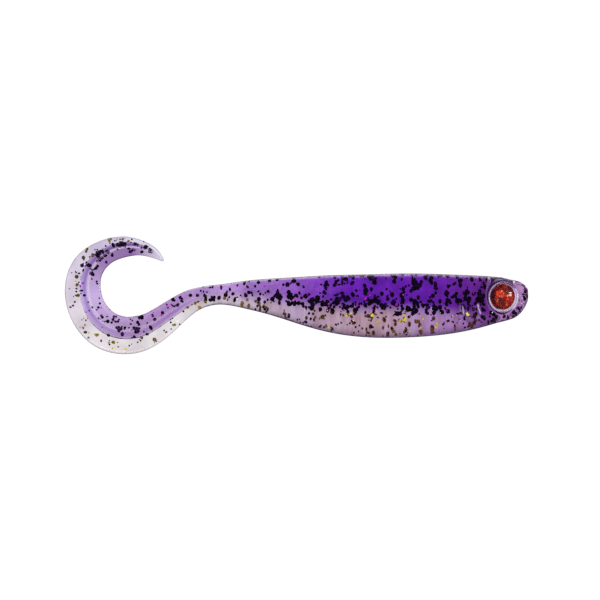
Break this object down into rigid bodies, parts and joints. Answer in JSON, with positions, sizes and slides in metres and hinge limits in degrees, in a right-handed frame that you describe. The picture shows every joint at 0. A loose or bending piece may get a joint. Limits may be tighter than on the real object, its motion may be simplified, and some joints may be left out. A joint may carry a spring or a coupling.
{
  "type": "curly tail soft lure",
  "caption": "Soft plastic curly-tail fishing lure with glued eyes, flexible body and a tail that uncurls and flutters.",
  "frame": {"origin": "centre of the small flat seat on the nose, where a jig head meets the lure", "axes": "+X out of the nose along the body, +Z out of the back, Y across the body"},
  "size_m": [0.0999, 0.01, 0.0254],
  "materials": {
    "violet_plastisol": "wet gloss, translucent",
    "clear_plastisol": "wet gloss, translucent",
    "black_glitter": "metallised film",
    "violet_glitter": "metallised film",
    "gold_glitter": "metallised film",
    "eye_foil": "holographic foil",
    "eye_lens": "clear gloss"
  },
  "bodies": {
    "head": {"back_shot_head": "violet_plastisol", "belly_shot_head": "clear_plastisol", "black_glitter_head": "black_glitter", "violet_glitter_head": "violet_glitter", "gold_glitter_head": "gold_glitter", "left_eye_foil": "eye_foil", "left_eye_dome": "eye_lens", "right_eye_foil": "eye_foil", "right_eye_dome": "eye_lens"},
    "rear_body": {"back_shot_rear_body": "violet_plastisol", "belly_shot_rear_body": "clear_plastisol", "black_glitter_rear_body": "black_glitter", "violet_glitter_rear_body": "violet_glitter", "gold_glitter_rear_body": "gold_glitter"},
    "wrist": {"back_shot_wrist": "violet_plastisol", "belly_shot_wrist": "clear_plastisol", "black_glitter_wrist": "black_glitter", "violet_glitter_wrist": "violet_glitter", "gold_glitter_wrist": "gold_glitter"},
    "tail_root": {"back_shot_tail_root": "violet_plastisol", "belly_shot_tail_root": "clear_plastisol", "black_glitter_tail_root": "black_glitter", "violet_glitter_tail_root": "violet_glitter", "gold_glitter_tail_root": "gold_glitter"},
    "tail_low": {"back_shot_tail_low": "violet_plastisol", "belly_shot_tail_low": "clear_plastisol", "black_glitter_tail_low": "black_glitter", "violet_glitter_tail_low": "violet_glitter", "gold_glitter_tail_low": "gold_glitter"},
    "tail_bend": {"back_shot_tail_bend": "violet_plastisol", "belly_shot_tail_bend": "clear_plastisol", "black_glitter_tail_bend": "black_glitter", "violet_glitter_tail_bend": "violet_glitter", "gold_glitter_tail_bend": "gold_glitter"},
    "tail_side": {"back_shot_tail_side": "violet_plastisol", "belly_shot_tail_side": "clear_plastisol", "black_glitter_tail_side": "black_glitter", "violet_glitter_tail_side": "violet_glitter", "gold_glitter_tail_side": "gold_glitter"},
    "tail_rise": {"back_shot_tail_rise": "violet_plastisol", "belly_shot_tail_rise": "clear_plastisol", "black_glitter_tail_rise": "black_glitter", "violet_glitter_tail_rise": "violet_glitter", "gold_glitter_tail_rise": "gold_glitter"},
    "tail_top": {"back_shot_tail_top": "violet_plastisol", "belly_shot_tail_top": "clear_plastisol", "black_glitter_tail_top": "black_glitter", "violet_glitter_tail_top": "violet_glitter", "gold_glitter_tail_top": "gold_glitter"},
    "tail_tip": {"back_shot_tail_tip": "violet_plastisol", "belly_shot_tail_tip": "clear_plastisol", "black_glitter_tail_tip": "black_glitter", "violet_glitter_tail_tip": "violet_glitter", "gold_glitter_tail_tip": "gold_glitter"}
  },
  "joints": [
    {"name": "body_bend", "type": "hinge", "parent": "head", "child": "rear_body", "pos_m": [-0.044, 0, -0.00179], "axis": [0, 0, -1], "range_deg": [-23, 23], "stiffness_Nm_per_rad": 0.003},
    {"name": "tail_wag", "type": "hinge", "parent": "rear_body", "child": "wrist", "pos_m": [-0.063, 0, 0.00008], "axis": [0, 0, -1], "range_deg": [-30, 30], "stiffness_Nm_per_rad": 0.0008},
    {"name": "tail_uncurl", "type": "hinge", "parent": "wrist", "child": "tail_root", "pos_m": [-0.07905, 0, -0.00585], "axis": [0, -1, 0], "range_deg": [-6, 22], "stiffness_Nm_per_rad": 0.002},
    {"name": "tail_flutter_low", "type": "hinge", "parent": "tail_root", "child": "tail_low", "pos_m": [-0.08378, 0, -0.00837], "axis": [0.2756, 0, -0.9613], "range_deg": [-18, 18], "stiffness_Nm_per_rad": 0.0001},
    {"name": "tail_uncurl_bend", "type": "hinge", "parent": "tail_low", "child": "tail_bend", "pos_m": [-0.08953, 0, -0.00824], "axis": [0, -1, 0], "range_deg": [-6, 22], "stiffness_Nm_per_rad": 0.0004},
    {"name": "tail_flutter_side", "type": "hinge", "parent": "tail_bend", "child": "tail_side", "pos_m": [-0.09443, 0, -0.00425], "axis": [-0.829, 0, -0.5592], "range_deg": [-18, 18], "stiffness_Nm_per_rad": 0.00005},
    {"name": "tail_uncurl_rise", "type": "hinge", "parent": "tail_side", "child": "tail_rise", "pos_m": [-0.09598, 0, 0.0021], "axis": [0, -1, 0], "range_deg": [-6, 22], "stiffness_Nm_per_rad": 0.0002},
    {"name": "tail_uncurl_top", "type": "hinge", "parent": "tail_rise", "child": "tail_top", "pos_m": [-0.09176, 0, 0.0089], "axis": [0, -1, 0], "range_deg": [-6, 22], "stiffness_Nm_per_rad": 0.00005},
    {"name": "tail_flutter_tip", "type": "hinge", "parent": "tail_top", "child": "tail_tip", "pos_m": [-0.08519, 0, 0.01041], "axis": [0.1392, 0, 0.9903], "range_deg": [-18, 18], "stiffness_Nm_per_rad": 0.00001}
  ],
  "couplings": [
    {"joint": "tail_flutter_low", "follows": "tail_wag", "ratio": -0.6},
    {"joint": "tail_flutter_side", "follows": "tail_wag", "ratio": -0.6},
    {"joint": "tail_flutter_tip", "follows": "tail_wag", "ratio": 0.6},
    {"joint": "tail_uncurl_bend", "follows": "tail_uncurl", "ratio": 1},
    {"joint": "tail_uncurl_rise", "follows": "tail_uncurl", "ratio": 1},
    {"joint": "tail_uncurl_top", "follows": "tail_uncurl", "ratio": 1}
  ]
}
